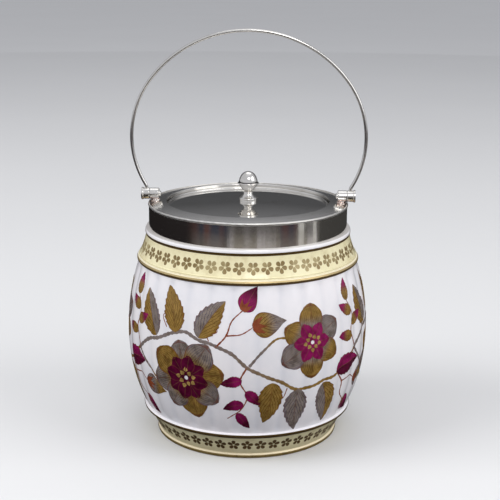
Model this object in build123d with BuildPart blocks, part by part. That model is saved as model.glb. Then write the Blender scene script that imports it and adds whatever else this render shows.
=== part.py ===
from build123d import *
import os
from math import acos, atan2, degrees, radians, sin, sqrt

# Biscuit jar: a footed porcelain barrel with a plated metal rim mount plastered to its neck,
# a domed lid with a turned finial that drops into the mount, and a wire bail that swings on
# two posts. Millimetres, +Z up, origin on the table under the middle of the jar. The bail
# turns about a line along X.

# ---------------------------------------------------------------- porcelain, from the table up
foot_rim_radius = 54.1
foot_rim_height = 2.8
foot_ring_width = 4.0        # foot rim to the inside of the flat ring that the jar stands on
foot_recess_depth = 3.0      # hollow inside the foot ring
base_thickness = 5.0
foot_band_set_in = 0.8       # how far the band starts inside the foot rim
foot_band_height = 13.0
foot_band_top_radius = 60.6
lower_bead_radius = 62.1
lower_bead_height = 2.4
barrel_bottom_radius = 60.8
belly_radius = 71.1
belly_rise = 45.4            # from the bottom of the barrel to its widest level
barrel_height = 87.1
barrel_top_radius = 64.2
upper_bead_radius = 65.2
upper_bead_height = 3.5
upper_band_bottom_radius = 63.8
upper_band_top_radius = 59.8
upper_band_height = 12.4
band_hollow = 0.5            # how far both bands curve in between their edges
neck_bead_bulge = 0.4        # neck bead beyond the top of the upper band
neck_bead_height = 3.3
neck_radius = 56.0
neck_height = 9.0
porcelain_wall = 3.8
base_corner_radius = 10.0    # inside, between the floor and the wall

# ---------------------------------------------------------------- rim mount
plaster_gap = 1.2            # between the neck and the rim band
plaster_cap = 2.0            # plaster over the top of the neck
plaster_cap_inset = 0.8      # kept back from the mouth of the porcelain
rim_band_height = 13.0
rim_metal = 0.9              # thickness of the band
edge_wire_radius = 0.65
edge_wire_seat = 0.5         # how far the shoulder stops inside the band's outer face
shoulder_metal = 0.8
shoulder_width = 10.0
shoulder_rise = 1.8
recess_depth = 3.5           # from the shoulder's inner edge down to the ledge
ledge_width = 3.7

# ---------------------------------------------------------------- lid and finial
lid_side_clearance = 0.4
lid_metal = 0.8
lid_rim_height = 1.0         # plate's edge above the ledge
lid_rim_width = 1.2
lid_crown_rise = 1.9         # middle of the dome above the plate's edge
ring_clearance = 0.4         # locating ring to ledge
ring_metal = 0.7
ring_height = 6.0
finial_base_radius = 5.2
finial_base_height = 2.0
finial_neck_radius = 2.45
finial_neck_ring_radius = 2.9
finial_neck_ring_height = 0.7
finial_cup_radius = 5.5      # underside of the lip
finial_cup_height = 4.2      # from the lip down to the neck
finial_cup_bulge = 0.35      # how far the cup swells beyond a straight cone
finial_lip_radius = 6.3
finial_lip_height = 0.6
finial_lip_rise = 10.4       # middle of the lip above the lid's crown
finial_dome_radius = 5.5
finial_dome_height = 6.7
finial_shank_radius = 1.5
finial_shank_length = 5.2    # below the lid's crown
shank_clearance = 0.15
washer_radius = 4.5
washer_thickness = 0.6
nut_across_flats = 5.5
nut_height = 2.4

# ---------------------------------------------------------------- bail and its hinges
knuckle_radius = 3.25
knuckle_length = 5.35
knuckle_gap = 0.8            # under the knuckle, over the shoulder
post_margin = 0.1            # post's flange to the edge wire
knuckle_overhang = 3.15      # outer end of the knuckle from the middle of the post
post_neck_radius = 2.1
post_flange_radius = 2.9
post_flange_height = 0.6
post_shank_radius = 1.2
post_tail_radius = 2.1
post_tail_height = 0.9
pin_radius = 1.2
pin_head_radius = 1.7
pin_head_length = 1.3
pin_tail_length = 0.5
pin_tail_clearance = 0.1
pin_running_clearance = 0.05
sleeve_end_clearance = 0.1
sleeve_length = 4.8
sleeve_flange_width = 0.35   # flange beyond the sleeve
sleeve_flange_length = 1.0
bail_wire_radius = 0.95
bail_wire_inset = 1.8        # middle of the wire from the sleeve's inner end
bail_wire_end_gap = 0.25     # wire's end over the pin bore
bail_bend_radius = 4.0       # small bend where the wire leaves the sleeve
bail_bulge = 8.35            # how far the hoop widens beyond its ends
bail_straight_end = 0.1      # straight wire above the sleeve, before the small bend
bail_crown_rise = 95.0       # middle of the wire at the top, above the hinge line
bail_side_radius = 54.8

# ---------------------------------------------------------------- levels and fits
z_foot_band = foot_rim_height
z_lower_bead = z_foot_band + foot_band_height
z_barrel = z_lower_bead + lower_bead_height
z_belly = z_barrel + belly_rise
z_upper_bead = z_barrel + barrel_height
z_upper_band = z_upper_bead + upper_bead_height
z_neck_bead = z_upper_band + upper_band_height
z_rim = z_neck_bead + neck_bead_height
z_neck_top = z_rim + neck_height
z_floor = foot_recess_depth + base_thickness

mouth_radius = neck_radius - porcelain_wall
rim_inner_radius = neck_radius + plaster_gap
rim_outer_radius = rim_inner_radius + rim_metal
z_band_top = z_rim + rim_band_height
shoulder_outer_radius = rim_outer_radius - edge_wire_seat
recess_radius = shoulder_outer_radius - shoulder_width
shoulder_slope = shoulder_rise / shoulder_width
z_shoulder_edge = z_band_top + shoulder_metal
z_shoulder_top = z_shoulder_edge + shoulder_rise
z_ledge = z_shoulder_top - recess_depth
ledge_inner_radius = recess_radius - ledge_width

lid_radius = recess_radius - lid_side_clearance
lid_plate_radius = lid_radius - lid_rim_width
ring_outer_radius = ledge_inner_radius - ring_clearance
z_lid_edge = z_ledge + lid_rim_height
z_crown = z_lid_edge + lid_crown_rise
dome_radius = (lid_plate_radius**2 + lid_crown_rise**2) / (2 * lid_crown_rise)
z_dome_centre = z_crown - dome_radius
z_underside = z_crown - lid_metal

post_x = shoulder_outer_radius - post_margin - post_flange_radius
knuckle_outer_x = post_x + knuckle_overhang
knuckle_inner_x = knuckle_outer_x - knuckle_length
z_shoulder_at_post = z_shoulder_edge + shoulder_slope * (shoulder_outer_radius - post_x)
z_hinge = z_shoulder_at_post + knuckle_gap + knuckle_radius
sleeve_flange_radius = knuckle_radius + sleeve_flange_width
sleeve_inner_x = knuckle_outer_x + sleeve_end_clearance
sleeve_outer_x = sleeve_inner_x + sleeve_length
pin_bore_radius = pin_radius + pin_running_clearance
wire_x = sleeve_inner_x + bail_wire_inset

# ================================================================ porcelain body
# One revolved wall: foot ring, lower band, bead, barrel, bead, upper band, neck bead and the
# plain neck that the rim mount is plastered to.
ring_outer = foot_rim_radius - foot_rim_height / 4
ring_inner = foot_rim_radius - foot_ring_width
base_recess_radius = ring_inner - foot_recess_depth
foot_band_bottom_radius = foot_rim_radius - foot_band_set_in
inner_bottom_radius = barrel_bottom_radius - porcelain_wall
inner_belly_radius = belly_radius - porcelain_wall
inner_top_radius = barrel_top_radius - porcelain_wall
floor_radius = inner_bottom_radius - base_corner_radius
z_inner_corner = z_floor + base_corner_radius

with BuildPart() as porcelain_body:
    with BuildSketch(Plane.XZ):
        with BuildLine():
            Polyline((0, foot_recess_depth), (base_recess_radius, foot_recess_depth), (ring_inner, 0),
                     (ring_outer, 0))
            ThreePointArc((ring_outer, 0), (foot_rim_radius, foot_rim_height / 2),
                          (foot_band_bottom_radius, z_foot_band))
            SagittaArc((foot_band_bottom_radius, z_foot_band), (foot_band_top_radius, z_lower_bead),
                       band_hollow)
            ThreePointArc((foot_band_top_radius, z_lower_bead),
                          (lower_bead_radius, z_lower_bead + lower_bead_height / 2),
                          (barrel_bottom_radius, z_barrel))
            TangentArc((belly_radius, z_belly), (barrel_bottom_radius, z_barrel), tangent=(0, -1))
            TangentArc((belly_radius, z_belly), (barrel_top_radius, z_upper_bead), tangent=(0, 1))
            ThreePointArc((barrel_top_radius, z_upper_bead),
                          (upper_bead_radius, z_upper_bead + upper_bead_height / 2),
                          (upper_band_bottom_radius, z_upper_band))
            SagittaArc((upper_band_bottom_radius, z_upper_band), (upper_band_top_radius, z_neck_bead),
                       band_hollow)
            ThreePointArc((upper_band_top_radius, z_neck_bead),
                          (upper_band_top_radius + neck_bead_bulge, z_neck_bead + neck_bead_height / 2),
                          (upper_band_top_radius, z_rim))
            Polyline((upper_band_top_radius, z_rim), (neck_radius, z_rim), (neck_radius, z_neck_top),
                     (mouth_radius, z_neck_top), (mouth_radius, z_rim), (inner_top_radius, z_upper_bead))
            TangentArc((inner_belly_radius, z_belly), (inner_top_radius, z_upper_bead), tangent=(0, 1))
            TangentArc((inner_belly_radius, z_belly), (inner_bottom_radius, z_inner_corner),
                       tangent=(0, -1))
            RadiusArc((inner_bottom_radius, z_inner_corner), (floor_radius, z_floor), base_corner_radius)
            Polyline((floor_radius, z_floor), (0, z_floor), (0, foot_recess_depth))
        make_face()
    revolve(axis=Axis.Z)

# ================================================================ plaster between neck and mount
cap_inner_radius = mouth_radius + plaster_cap_inset
z_plaster_top = z_neck_top + plaster_cap

with BuildPart() as plaster_bed:
    with BuildSketch(Plane.XZ):
        with BuildLine():
            Polyline((neck_radius, z_rim), (rim_inner_radius, z_rim), (rim_inner_radius, z_plaster_top),
                     (cap_inner_radius, z_plaster_top), (cap_inner_radius, z_neck_top),
                     (neck_radius, z_neck_top), close=True)
        make_face()
    revolve(axis=Axis.Z)

# ================================================================ rim band and its edge wire
with BuildPart() as rim_band:
    with BuildSketch(Plane.XY.offset(z_rim)):
        Circle(rim_outer_radius)
        Circle(rim_inner_radius, mode=Mode.SUBTRACT)
    extrude(amount=rim_band_height)

# Half-round wire soldered round the top of the band, against the shoulder's outer edge.
edge_wire_middle = rim_outer_radius - edge_wire_seat / 2
z_wire_top = z_band_top + 2 * edge_wire_radius

with BuildPart() as rim_edge_wire:
    with BuildSketch(Plane.XZ):
        with BuildLine():
            Line((shoulder_outer_radius, z_band_top), (edge_wire_middle, z_band_top))
            ThreePointArc((edge_wire_middle, z_band_top),
                          (edge_wire_middle + edge_wire_radius, z_band_top + edge_wire_radius),
                          (edge_wire_middle, z_wire_top))
            Polyline((edge_wire_middle, z_wire_top), (shoulder_outer_radius, z_wire_top),
                     (shoulder_outer_radius, z_band_top))
        make_face()
    revolve(axis=Axis.Z)

# ================================================================ shoulder with the lid's recess
# Spun plate: a sloped shoulder, a straight recess wall and the ledge that the lid sits on. Its
# outer edge lands flat on the band. The posts' shanks pass through two holes.
wall_outer_radius = recess_radius + shoulder_metal
z_under_shoulder = z_band_top + shoulder_slope * (shoulder_outer_radius - wall_outer_radius)
z_under_at_band = z_band_top + shoulder_slope * (shoulder_outer_radius - rim_inner_radius)

with BuildPart() as rim_shoulder:
    with BuildSketch(Plane.XZ):
        with BuildLine():
            Polyline((shoulder_outer_radius, z_band_top), (shoulder_outer_radius, z_shoulder_edge),
                     (recess_radius, z_shoulder_top), (recess_radius, z_ledge),
                     (ledge_inner_radius, z_ledge), (ledge_inner_radius, z_ledge - shoulder_metal),
                     (wall_outer_radius, z_ledge - shoulder_metal), (wall_outer_radius, z_under_shoulder),
                     (rim_inner_radius, z_under_at_band), (rim_inner_radius, z_band_top), close=True)
        make_face()
    revolve(axis=Axis.Z)
    with BuildSketch(Plane.XY.offset(z_ledge)):
        with Locations((-post_x, 0), (post_x, 0)):
            Circle(post_shank_radius)
    extrude(amount=recess_depth, mode=Mode.SUBTRACT)

# ================================================================ bail posts
# Each post is a knuckle on a short neck and flange, with a shank that goes through the
# shoulder and is headed over below it. The flange and the tail follow the shoulder's slope.
z_tail = z_shoulder_at_post - shoulder_metal - post_tail_height


def bail_post(side):
    """Post on the side +1 or -1 of the jar, with its bore along the hinge line."""
    with BuildPart() as post:
        with BuildSketch(Plane.YZ.offset(side * knuckle_inner_x)):
            with Locations((0, z_hinge)):
                Circle(knuckle_radius)
        extrude(amount=side * knuckle_length)
        with BuildSketch(Plane.XY.offset(z_shoulder_at_post - shoulder_metal)):
            with Locations((side * post_x, 0)):
                Circle(post_neck_radius)
        extrude(amount=z_hinge - z_shoulder_at_post + shoulder_metal)
        with BuildSketch(Plane.XY.offset(z_shoulder_at_post - shoulder_metal)):
            with Locations((side * post_x, 0)):
                Circle(post_flange_radius)
        extrude(amount=shoulder_metal + post_flange_height)
        with BuildSketch(Plane.XY.offset(z_tail)):
            with Locations((side * post_x, 0)):
                Circle(post_tail_radius)
        extrude(amount=post_tail_height + shoulder_metal)
        add(rim_shoulder.part, mode=Mode.SUBTRACT)
        with BuildSketch(Plane.YZ.offset(side * knuckle_inner_x)):
            with Locations((0, z_hinge)):
                Circle(pin_radius)
        extrude(amount=side * knuckle_length, mode=Mode.SUBTRACT)
    return post


bail_post_left = bail_post(-1)
bail_post_right = bail_post(1)

# ================================================================ hinge pins
# A domed head inside the knuckle, a shaft fixed in the knuckle that runs in the sleeve, and a
# headed tail sunk in the sleeve's outer end.
pin_head_corner = pin_head_radius / 3
tail_inner_x = sleeve_outer_x - pin_tail_length
tail_radius = pin_head_radius


def hinge_pin(side):
    """Pin on the side +1 or -1 of the jar, turned about the hinge line."""
    with BuildPart() as pin:
        with BuildSketch(Plane.YZ.offset(side * (knuckle_inner_x - pin_head_length))):
            with Locations((0, z_hinge)):
                Circle(pin_head_radius)
        extrude(amount=side * pin_head_length)
        fillet(pin.faces().sort_by(Axis.X)[0 if side > 0 else -1].edges(), pin_head_corner)
        with BuildSketch(Plane.YZ.offset(side * knuckle_inner_x)):
            with Locations((0, z_hinge)):
                Circle(pin_radius)
        extrude(amount=side * (tail_inner_x - knuckle_inner_x))
        with BuildSketch(Plane.YZ.offset(side * tail_inner_x)):
            with Locations((0, z_hinge)):
                Circle(tail_radius)
        extrude(amount=side * pin_tail_length)
    return pin


hinge_pin_left = hinge_pin(-1)
hinge_pin_right = hinge_pin(1)

# ================================================================ bail wire
# A hoop of two arc radii, with a small bend and a straight end at each sleeve. All its arcs
# are tangent to each other, and the side arcs' middles lie level with the widest point.
side_centre_x = wire_x + bail_bulge - bail_side_radius
bend_x = wire_x + bail_bend_radius
lean_angle = degrees(acos((bend_x - side_centre_x) / (bail_side_radius + bail_bend_radius)))
z_bend = z_hinge + knuckle_radius + bail_straight_end
z_side_centre = z_bend + (bail_side_radius + bail_bend_radius) * sin(radians(lean_angle))
crown_height = z_hinge + bail_crown_rise - z_side_centre
crown_radius = ((side_centre_x**2 + crown_height**2 - bail_side_radius**2)
                / (2 * (crown_height - bail_side_radius)))
z_crown_centre = z_hinge + bail_crown_rise - crown_radius
crown_angle = degrees(atan2(z_side_centre - z_crown_centre, side_centre_x))
z_wire_end = z_hinge + pin_bore_radius + bail_wire_end_gap

with BuildPart() as bail_wire:
    with BuildLine(Plane.XZ) as bail_path:
        Line((wire_x, z_wire_end), (wire_x, z_bend))
        CenterArc((bend_x, z_bend), bail_bend_radius, 180, -lean_angle)
        CenterArc((side_centre_x, z_side_centre), bail_side_radius, -lean_angle, lean_angle + crown_angle)
        CenterArc((0, z_crown_centre), crown_radius, crown_angle, 180 - 2 * crown_angle)
        CenterArc((-side_centre_x, z_side_centre), bail_side_radius, 180 - crown_angle,
                  crown_angle + lean_angle)
        CenterArc((-bend_x, z_bend), bail_bend_radius, lean_angle, -lean_angle)
        Line((-wire_x, z_bend), (-wire_x, z_wire_end))
    with BuildSketch(Plane.XY.offset(z_wire_end)):
        with Locations((wire_x, 0)):
            Circle(bail_wire_radius)
    sweep(path=bail_path.wires()[0])

# ================================================================ bail sleeves
# Each sleeve turns on its pin, with a raised flange at its outer end and a sunk seat for the
# pin's tail. The wire is brazed into the hole on top.
seat_radius = tail_radius + pin_tail_clearance
seat_depth = pin_tail_length + pin_tail_clearance
flange_corner = sleeve_flange_width / 2


def bail_sleeve(side):
    """Sleeve on the side +1 or -1 of the jar."""
    with BuildPart() as sleeve:
        with BuildSketch(Plane.YZ.offset(side * sleeve_inner_x)):
            with Locations((0, z_hinge)):
                Circle(knuckle_radius)
        extrude(amount=side * sleeve_length)
        with BuildSketch(Plane.YZ.offset(side * (sleeve_outer_x - sleeve_flange_length))):
            with Locations((0, z_hinge)):
                Circle(sleeve_flange_radius)
        extrude(amount=side * sleeve_flange_length)
        fillet(sleeve.faces().sort_by(Axis.X)[-1 if side > 0 else 0].edges(), flange_corner)
        with BuildSketch(Plane.YZ.offset(side * sleeve_inner_x)):
            with Locations((0, z_hinge)):
                Circle(pin_bore_radius)
        extrude(amount=side * sleeve_length, mode=Mode.SUBTRACT)
        with BuildSketch(Plane.YZ.offset(side * (sleeve_outer_x - seat_depth))):
            with Locations((0, z_hinge)):
                Circle(seat_radius)
        extrude(amount=side * seat_depth, mode=Mode.SUBTRACT)
        with BuildSketch(Plane.XY.offset(z_wire_end)):
            with Locations((side * wire_x, 0)):
                Circle(bail_wire_radius)
        extrude(amount=z_bend - z_wire_end, mode=Mode.SUBTRACT)
    return sleeve


bail_sleeve_left = bail_sleeve(-1)
bail_sleeve_right = bail_sleeve(1)

# ================================================================ lid
# A thin domed plate inside a half-round rim wire, and a locating ring that drops through the
# ledge. The plate's edge ends on the wire's inner face.
z_plate_edge_low = z_lid_edge - lid_metal
shank_hole_radius = finial_shank_radius + shank_clearance

with BuildPart() as lid_plate:
    with BuildSketch(Plane.XZ):
        with BuildLine():
            TangentArc((0, z_crown), (lid_plate_radius, z_lid_edge), tangent=(1, 0))
            Line((lid_plate_radius, z_lid_edge), (lid_plate_radius, z_plate_edge_low))
            TangentArc((0, z_underside), (lid_plate_radius, z_plate_edge_low), tangent=(1, 0))
            Line((0, z_underside), (0, z_crown))
        make_face()
    revolve(axis=Axis.Z)
    with BuildSketch(Plane.XY.offset(z_plate_edge_low)):
        Circle(shank_hole_radius)
    extrude(amount=z_crown - z_plate_edge_low, mode=Mode.SUBTRACT)

lid_wire_radius = lid_rim_width / 2

with BuildPart() as lid_rim_wire:
    with BuildSketch(Plane.XZ):
        with BuildLine():
            Polyline((lid_plate_radius, z_lid_edge), (lid_plate_radius, z_ledge), (lid_radius, z_ledge),
                     (lid_radius, z_lid_edge))
            ThreePointArc((lid_radius, z_lid_edge),
                          (lid_radius - lid_wire_radius, z_lid_edge + lid_wire_radius),
                          (lid_plate_radius, z_lid_edge))
        make_face()
    revolve(axis=Axis.Z)

# The ring is soldered to the underside of the plate.
z_ring_top = z_dome_centre - lid_metal + sqrt(dome_radius**2 - ring_outer_radius**2)
z_ring_bottom = z_ledge - ring_height

with BuildPart() as lid_locating_ring:
    with BuildSketch(Plane.XY.offset(z_ring_bottom)):
        Circle(ring_outer_radius)
        Circle(ring_outer_radius - ring_metal, mode=Mode.SUBTRACT)
    extrude(amount=z_ring_top - z_ring_bottom)

# ================================================================ finial and its fixing
# Turned in one piece: base disc, waisted neck with a small ring, cup, thin lip and dome, and
# a threaded shank that goes through the lid. The base follows the lid's dome.
z_base_top = z_crown + finial_base_height
z_lip = z_crown + finial_lip_rise
z_lip_low = z_lip - finial_lip_height / 2
z_lip_high = z_lip + finial_lip_height / 2
lip_flat_radius = finial_lip_radius - finial_lip_height / 2
z_neck_ring = z_base_top + (z_lip_low - z_base_top) / 3
z_cup = z_lip_low - finial_cup_height
z_neck_ring_top = z_neck_ring + finial_neck_ring_height
z_finial_top = z_lip_high + finial_dome_height
z_shank_end = z_crown - finial_shank_length
base_corner = finial_base_height / 3
z_dome_at_shank = z_dome_centre + sqrt(dome_radius**2 - finial_shank_radius**2)
z_dome_at_base = z_dome_centre + sqrt(dome_radius**2 - finial_base_radius**2)

with BuildPart() as finial:
    with BuildSketch(Plane.XZ):
        with BuildLine():
            Polyline((0, z_shank_end), (finial_shank_radius, z_shank_end),
                     (finial_shank_radius, z_dome_at_shank))
            RadiusArc((finial_shank_radius, z_dome_at_shank), (finial_base_radius, z_dome_at_base),
                      dome_radius)
            Line((finial_base_radius, z_dome_at_base), (finial_base_radius, z_base_top - base_corner))
            RadiusArc((finial_base_radius, z_base_top - base_corner),
                      (finial_base_radius - base_corner, z_base_top), -base_corner)
            ThreePointArc((finial_base_radius - base_corner, z_base_top),
                          ((finial_base_radius + 2 * finial_neck_radius) / 3,
                           z_base_top + (z_neck_ring - z_base_top) / 3),
                          (finial_neck_radius, z_neck_ring))
            ThreePointArc((finial_neck_radius, z_neck_ring),
                          (finial_neck_ring_radius, (z_neck_ring + z_neck_ring_top) / 2),
                          (finial_neck_radius, z_neck_ring_top))
            Line((finial_neck_radius, z_neck_ring_top), (finial_neck_radius, z_cup))
            SagittaArc((finial_neck_radius, z_cup), (finial_cup_radius, z_lip_low), -finial_cup_bulge)
            Line((finial_cup_radius, z_lip_low), (lip_flat_radius, z_lip_low))
            ThreePointArc((lip_flat_radius, z_lip_low), (finial_lip_radius, z_lip),
                          (lip_flat_radius, z_lip_high))
            Line((lip_flat_radius, z_lip_high), (finial_dome_radius, z_lip_high))
            Spline((finial_dome_radius, z_lip_high),
                   (finial_dome_radius * sqrt(0.5), z_lip_high + finial_dome_height * sqrt(0.5)),
                   (0, z_finial_top), tangents=((0, 1), (-1, 0)))
            Line((0, z_finial_top), (0, z_shank_end))
        make_face()
    revolve(axis=Axis.Z)

# The washer bears on the dome's underside with its rim.
z_washer_top = z_dome_centre - lid_metal + sqrt(dome_radius**2 - washer_radius**2)
z_washer_low = z_washer_top - washer_thickness

with BuildPart() as finial_washer:
    with BuildSketch(Plane.XY.offset(z_washer_low)):
        Circle(washer_radius)
        Circle(shank_hole_radius, mode=Mode.SUBTRACT)
    extrude(amount=washer_thickness)

with BuildPart() as finial_nut:
    with BuildSketch(Plane.XY.offset(z_washer_low - nut_height)):
        RegularPolygon(nut_across_flats / 2, 6, major_radius=False)
        Circle(finial_shank_radius, mode=Mode.SUBTRACT)
    extrude(amount=nut_height)

# ================================================================ files
sub_parts = {
    "porcelain_body": porcelain_body,
    "plaster_bed": plaster_bed,
    "rim_band": rim_band,
    "rim_edge_wire": rim_edge_wire,
    "rim_shoulder": rim_shoulder,
    "bail_post_left": bail_post_left,
    "bail_post_right": bail_post_right,
    "hinge_pin_left": hinge_pin_left,
    "hinge_pin_right": hinge_pin_right,
    "bail_wire": bail_wire,
    "bail_sleeve_left": bail_sleeve_left,
    "bail_sleeve_right": bail_sleeve_right,
    "lid_plate": lid_plate,
    "lid_rim_wire": lid_rim_wire,
    "lid_locating_ring": lid_locating_ring,
    "finial": finial,
    "finial_washer": finial_washer,
    "finial_nut": finial_nut,
}

os.makedirs("parts", exist_ok=True)
for name, sub_part in sub_parts.items():
    sub_part.part.label = name
    export_step(sub_part.part, f"parts/{name}.step")
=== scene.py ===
import bpy
import random
from bisect import bisect_left
from math import acos, atan2, cos, hypot, pi, radians, sin, sqrt
from mathutils import Matrix, Vector


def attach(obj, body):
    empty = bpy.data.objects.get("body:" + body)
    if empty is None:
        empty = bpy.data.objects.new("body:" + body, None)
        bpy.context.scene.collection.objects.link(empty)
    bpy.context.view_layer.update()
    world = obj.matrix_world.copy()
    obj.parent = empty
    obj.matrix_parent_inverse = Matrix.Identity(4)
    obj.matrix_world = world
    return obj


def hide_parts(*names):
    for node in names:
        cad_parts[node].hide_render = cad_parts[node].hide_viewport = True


bl_info = {
    "name": "Biscuit Jar",
    "version": (1, 0, 0),
    "blender": (4, 5, 0),
    "location": "View3D > Sidebar > Biscuit Jar",
    "description": "Makes the looks of a porcelain biscuit jar with a plated mount, lid and bail",
    "category": "Object",
}

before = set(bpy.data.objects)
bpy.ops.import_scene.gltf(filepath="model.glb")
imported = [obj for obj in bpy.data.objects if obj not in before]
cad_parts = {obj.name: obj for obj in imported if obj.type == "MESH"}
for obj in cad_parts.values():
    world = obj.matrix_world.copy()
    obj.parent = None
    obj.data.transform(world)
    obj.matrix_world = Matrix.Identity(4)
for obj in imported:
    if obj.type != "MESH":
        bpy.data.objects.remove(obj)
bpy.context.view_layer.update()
MM = 0.001

# Levels and radii of the jar in millimetres, as the solids have them.
Z_FOOT_BAND = 2.8
Z_LOWER_BEAD = 15.8
Z_BARREL = 18.2
Z_BELLY = 63.6
Z_UPPER_BEAD = 105.3
Z_UPPER_BAND = 108.8
Z_NECK_BEAD = 121.2
Z_RIM = 124.5
Z_NECK_TOP = 133.5
Z_LEDGE = 136.6
Z_BAND_TOP = 137.5
Z_SHOULDER_TOP = 140.1
Z_HINGE = 142.894
Z_LID_EDGE = 137.6
Z_CROWN = 139.5
FOOT_RADIUS = 53.4
LOWER_BEAD_RADIUS = 62.1
UPPER_BEAD_RADIUS = 65.25
NECK_BEAD_RADIUS = 60.3
BELLY_RADIUS = 71.1
BARREL_TOP_RADIUS = 64.2
BARREL_BOTTOM_RADIUS = 60.8
NECK_RADIUS = 56.0
NECK_BORE = 52.2
WALL = 3.8
RIM_OUTER = 58.1
RIM_INNER = 57.2
SHOULDER_OUTER = 57.6
RECESS_RADIUS = 47.6
LEDGE_INNER = 43.9
LID_RADIUS = 47.2
PLATE_RADIUS = 46.0
DOME_RADIUS = 557.79
POST_X = 54.6
KNUCKLE_INNER = 52.4
KNUCKLE_OUTER = 57.75
KNUCKLE_RADIUS = 3.25
SLEEVE_INNER = 57.85
SLEEVE_OUTER = 62.65
WIRE_X = 59.65
WIRE_RADIUS = 0.95

# The flutes fade out over this length, in millimetres, at the top and bottom of the barrel.
FLUTE_FADE = 3.5
# How far the printed shapes stand off the glaze, and each one off the one below, in metres.
PRINT_PROUD = 0.00004
LAYER_STEP = 0.00002

# Where the camera stands, in metres, and how it is turned; its lens in pixels of the frame.
CAMERA_AZIMUTH = radians(2.5)
CAMERA_DISTANCE = 0.7019
CAMERA_HEIGHT = 0.28705
CAMERA_PITCH = radians(14.20)
CAMERA_ROLL = radians(0.394)
CAMERA_YAW = radians(0.107)
FOCAL_PIXELS = 1221.4
FRAME_PIXELS = 500
SENSOR_MM = 36.0


# ---------------------------------------------------------------- sizes and colours
class JarSizes(bpy.types.PropertyGroup):
    """Sizes of the jar's surface detail."""

    flute_count: bpy.props.IntProperty(
        name="Flutes", description="Lobes round the barrel", default=32, min=8, max=64)
    flute_depth: bpy.props.FloatProperty(
        name="Flute depth", description="From a lobe's crest to the valley beside it",
        default=0.0008, unit="LENGTH", precision=5)
    flute_turn: bpy.props.FloatProperty(
        name="Flute turn", description="Where the first valley lies, round from the +X side",
        default=radians(7.4), unit="ROTATION")
    upper_florets: bpy.props.IntProperty(
        name="Upper florets", description="Florets round the upper cream band", default=50, min=8)
    lower_florets: bpy.props.IntProperty(
        name="Lower florets", description="Florets round the foot band", default=46, min=8)
    print_turn: bpy.props.FloatProperty(
        name="Print turn", description="Turns the floral print round the barrel",
        default=radians(-147.0), unit="ROTATION")
    print_thickness: bpy.props.FloatProperty(
        name="Print thickness", description="Thickness of the enamel and gilding",
        default=0.00015, unit="LENGTH", precision=5)
    dent_depth: bpy.props.FloatProperty(
        name="Dent depth", description="How far the edge wire is knocked out of true",
        default=0.00018, unit="LENGTH", precision=5)


class JarColours(bpy.types.PropertyGroup):
    """Colours of the jar's finishes."""

    white: bpy.props.FloatVectorProperty(
        name="White glaze", description="Glaze of the barrel", subtype="COLOR", size=3,
        default=(0.88, 0.85, 0.865), min=0, max=1)
    cream: bpy.props.FloatVectorProperty(
        name="Cream ground", description="Ground colour of the two bands", subtype="COLOR", size=3,
        default=(0.85, 0.78, 0.50), min=0, max=1)
    gilt: bpy.props.FloatVectorProperty(
        name="Gilding", description="Gilding on the beads and the foot", subtype="COLOR", size=3,
        default=(0.67, 0.52, 0.26), min=0, max=1)
    # This brown is also the painted shade on the upper bead's underside.
    worn_and_shaded_gilt: bpy.props.FloatVectorProperty(
        name="Worn gilding", description="Gilding where it is worn", subtype="COLOR", size=3,
        default=(0.11, 0.062, 0.014), min=0, max=1)
    ochre: bpy.props.FloatVectorProperty(
        name="Ochre", description="Ochre gold of the print", subtype="COLOR", size=3,
        default=(0.26, 0.145, 0.028), min=0, max=1)
    mauve: bpy.props.FloatVectorProperty(
        name="Grey mauve", description="Grey mauve of the print", subtype="COLOR", size=3,
        default=(0.195, 0.168, 0.180), min=0, max=1)
    plum: bpy.props.FloatVectorProperty(
        name="Plum", description="Plum of the print", subtype="COLOR", size=3,
        default=(0.098, 0.002, 0.030), min=0, max=1)
    magenta: bpy.props.FloatVectorProperty(
        name="Magenta", description="Magenta of the print", subtype="COLOR", size=3,
        default=(0.27, 0.008, 0.098), min=0, max=1)
    outline: bpy.props.FloatVectorProperty(
        name="Outline", description="Outlines of the petals and leaves", subtype="COLOR", size=3,
        default=(0.12, 0.036, 0.017), min=0, max=1)
    rust: bpy.props.FloatVectorProperty(
        name="Rust", description="Thin stems and sepals of the print", subtype="COLOR", size=3,
        default=(0.28, 0.065, 0.025), min=0, max=1)
    silver: bpy.props.FloatVectorProperty(
        name="Silver plate", description="Silver of mount, lid and bail", subtype="COLOR", size=3,
        default=(0.82, 0.80, 0.765), min=0, max=1)


def sizes():
    return bpy.context.scene.jar_sizes


def colours():
    return bpy.context.scene.jar_colours


# Shades that go with the colours above.
GREY_GLAZE = (0.80, 0.79, 0.82)
# Bluer glaze in the flute valleys, partly real pooled glaze and partly painted shade.
POOLED_GLAZE_AND_SHADE = (0.66, 0.67, 0.73)
NECK_WHITE = (0.90, 0.88, 0.89)
STAINED_CREAM = (0.70, 0.61, 0.36)
SHADED_CREAM = (0.48, 0.40, 0.26)
GRIME = (0.42, 0.38, 0.32)
BARE_BODY = (0.62, 0.57, 0.50)
PRINT_GOLD = (0.52, 0.38, 0.14)
SEED_GOLD = (0.45, 0.30, 0.09)
VEIN_BROWN = (0.05, 0.022, 0.014)
RIB_BROWN = (0.16, 0.075, 0.03)
TARNISH = (0.47, 0.42, 0.34)
DULL_SILVER = (0.66, 0.63, 0.58)
COPPER = (0.72, 0.47, 0.39)


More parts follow.
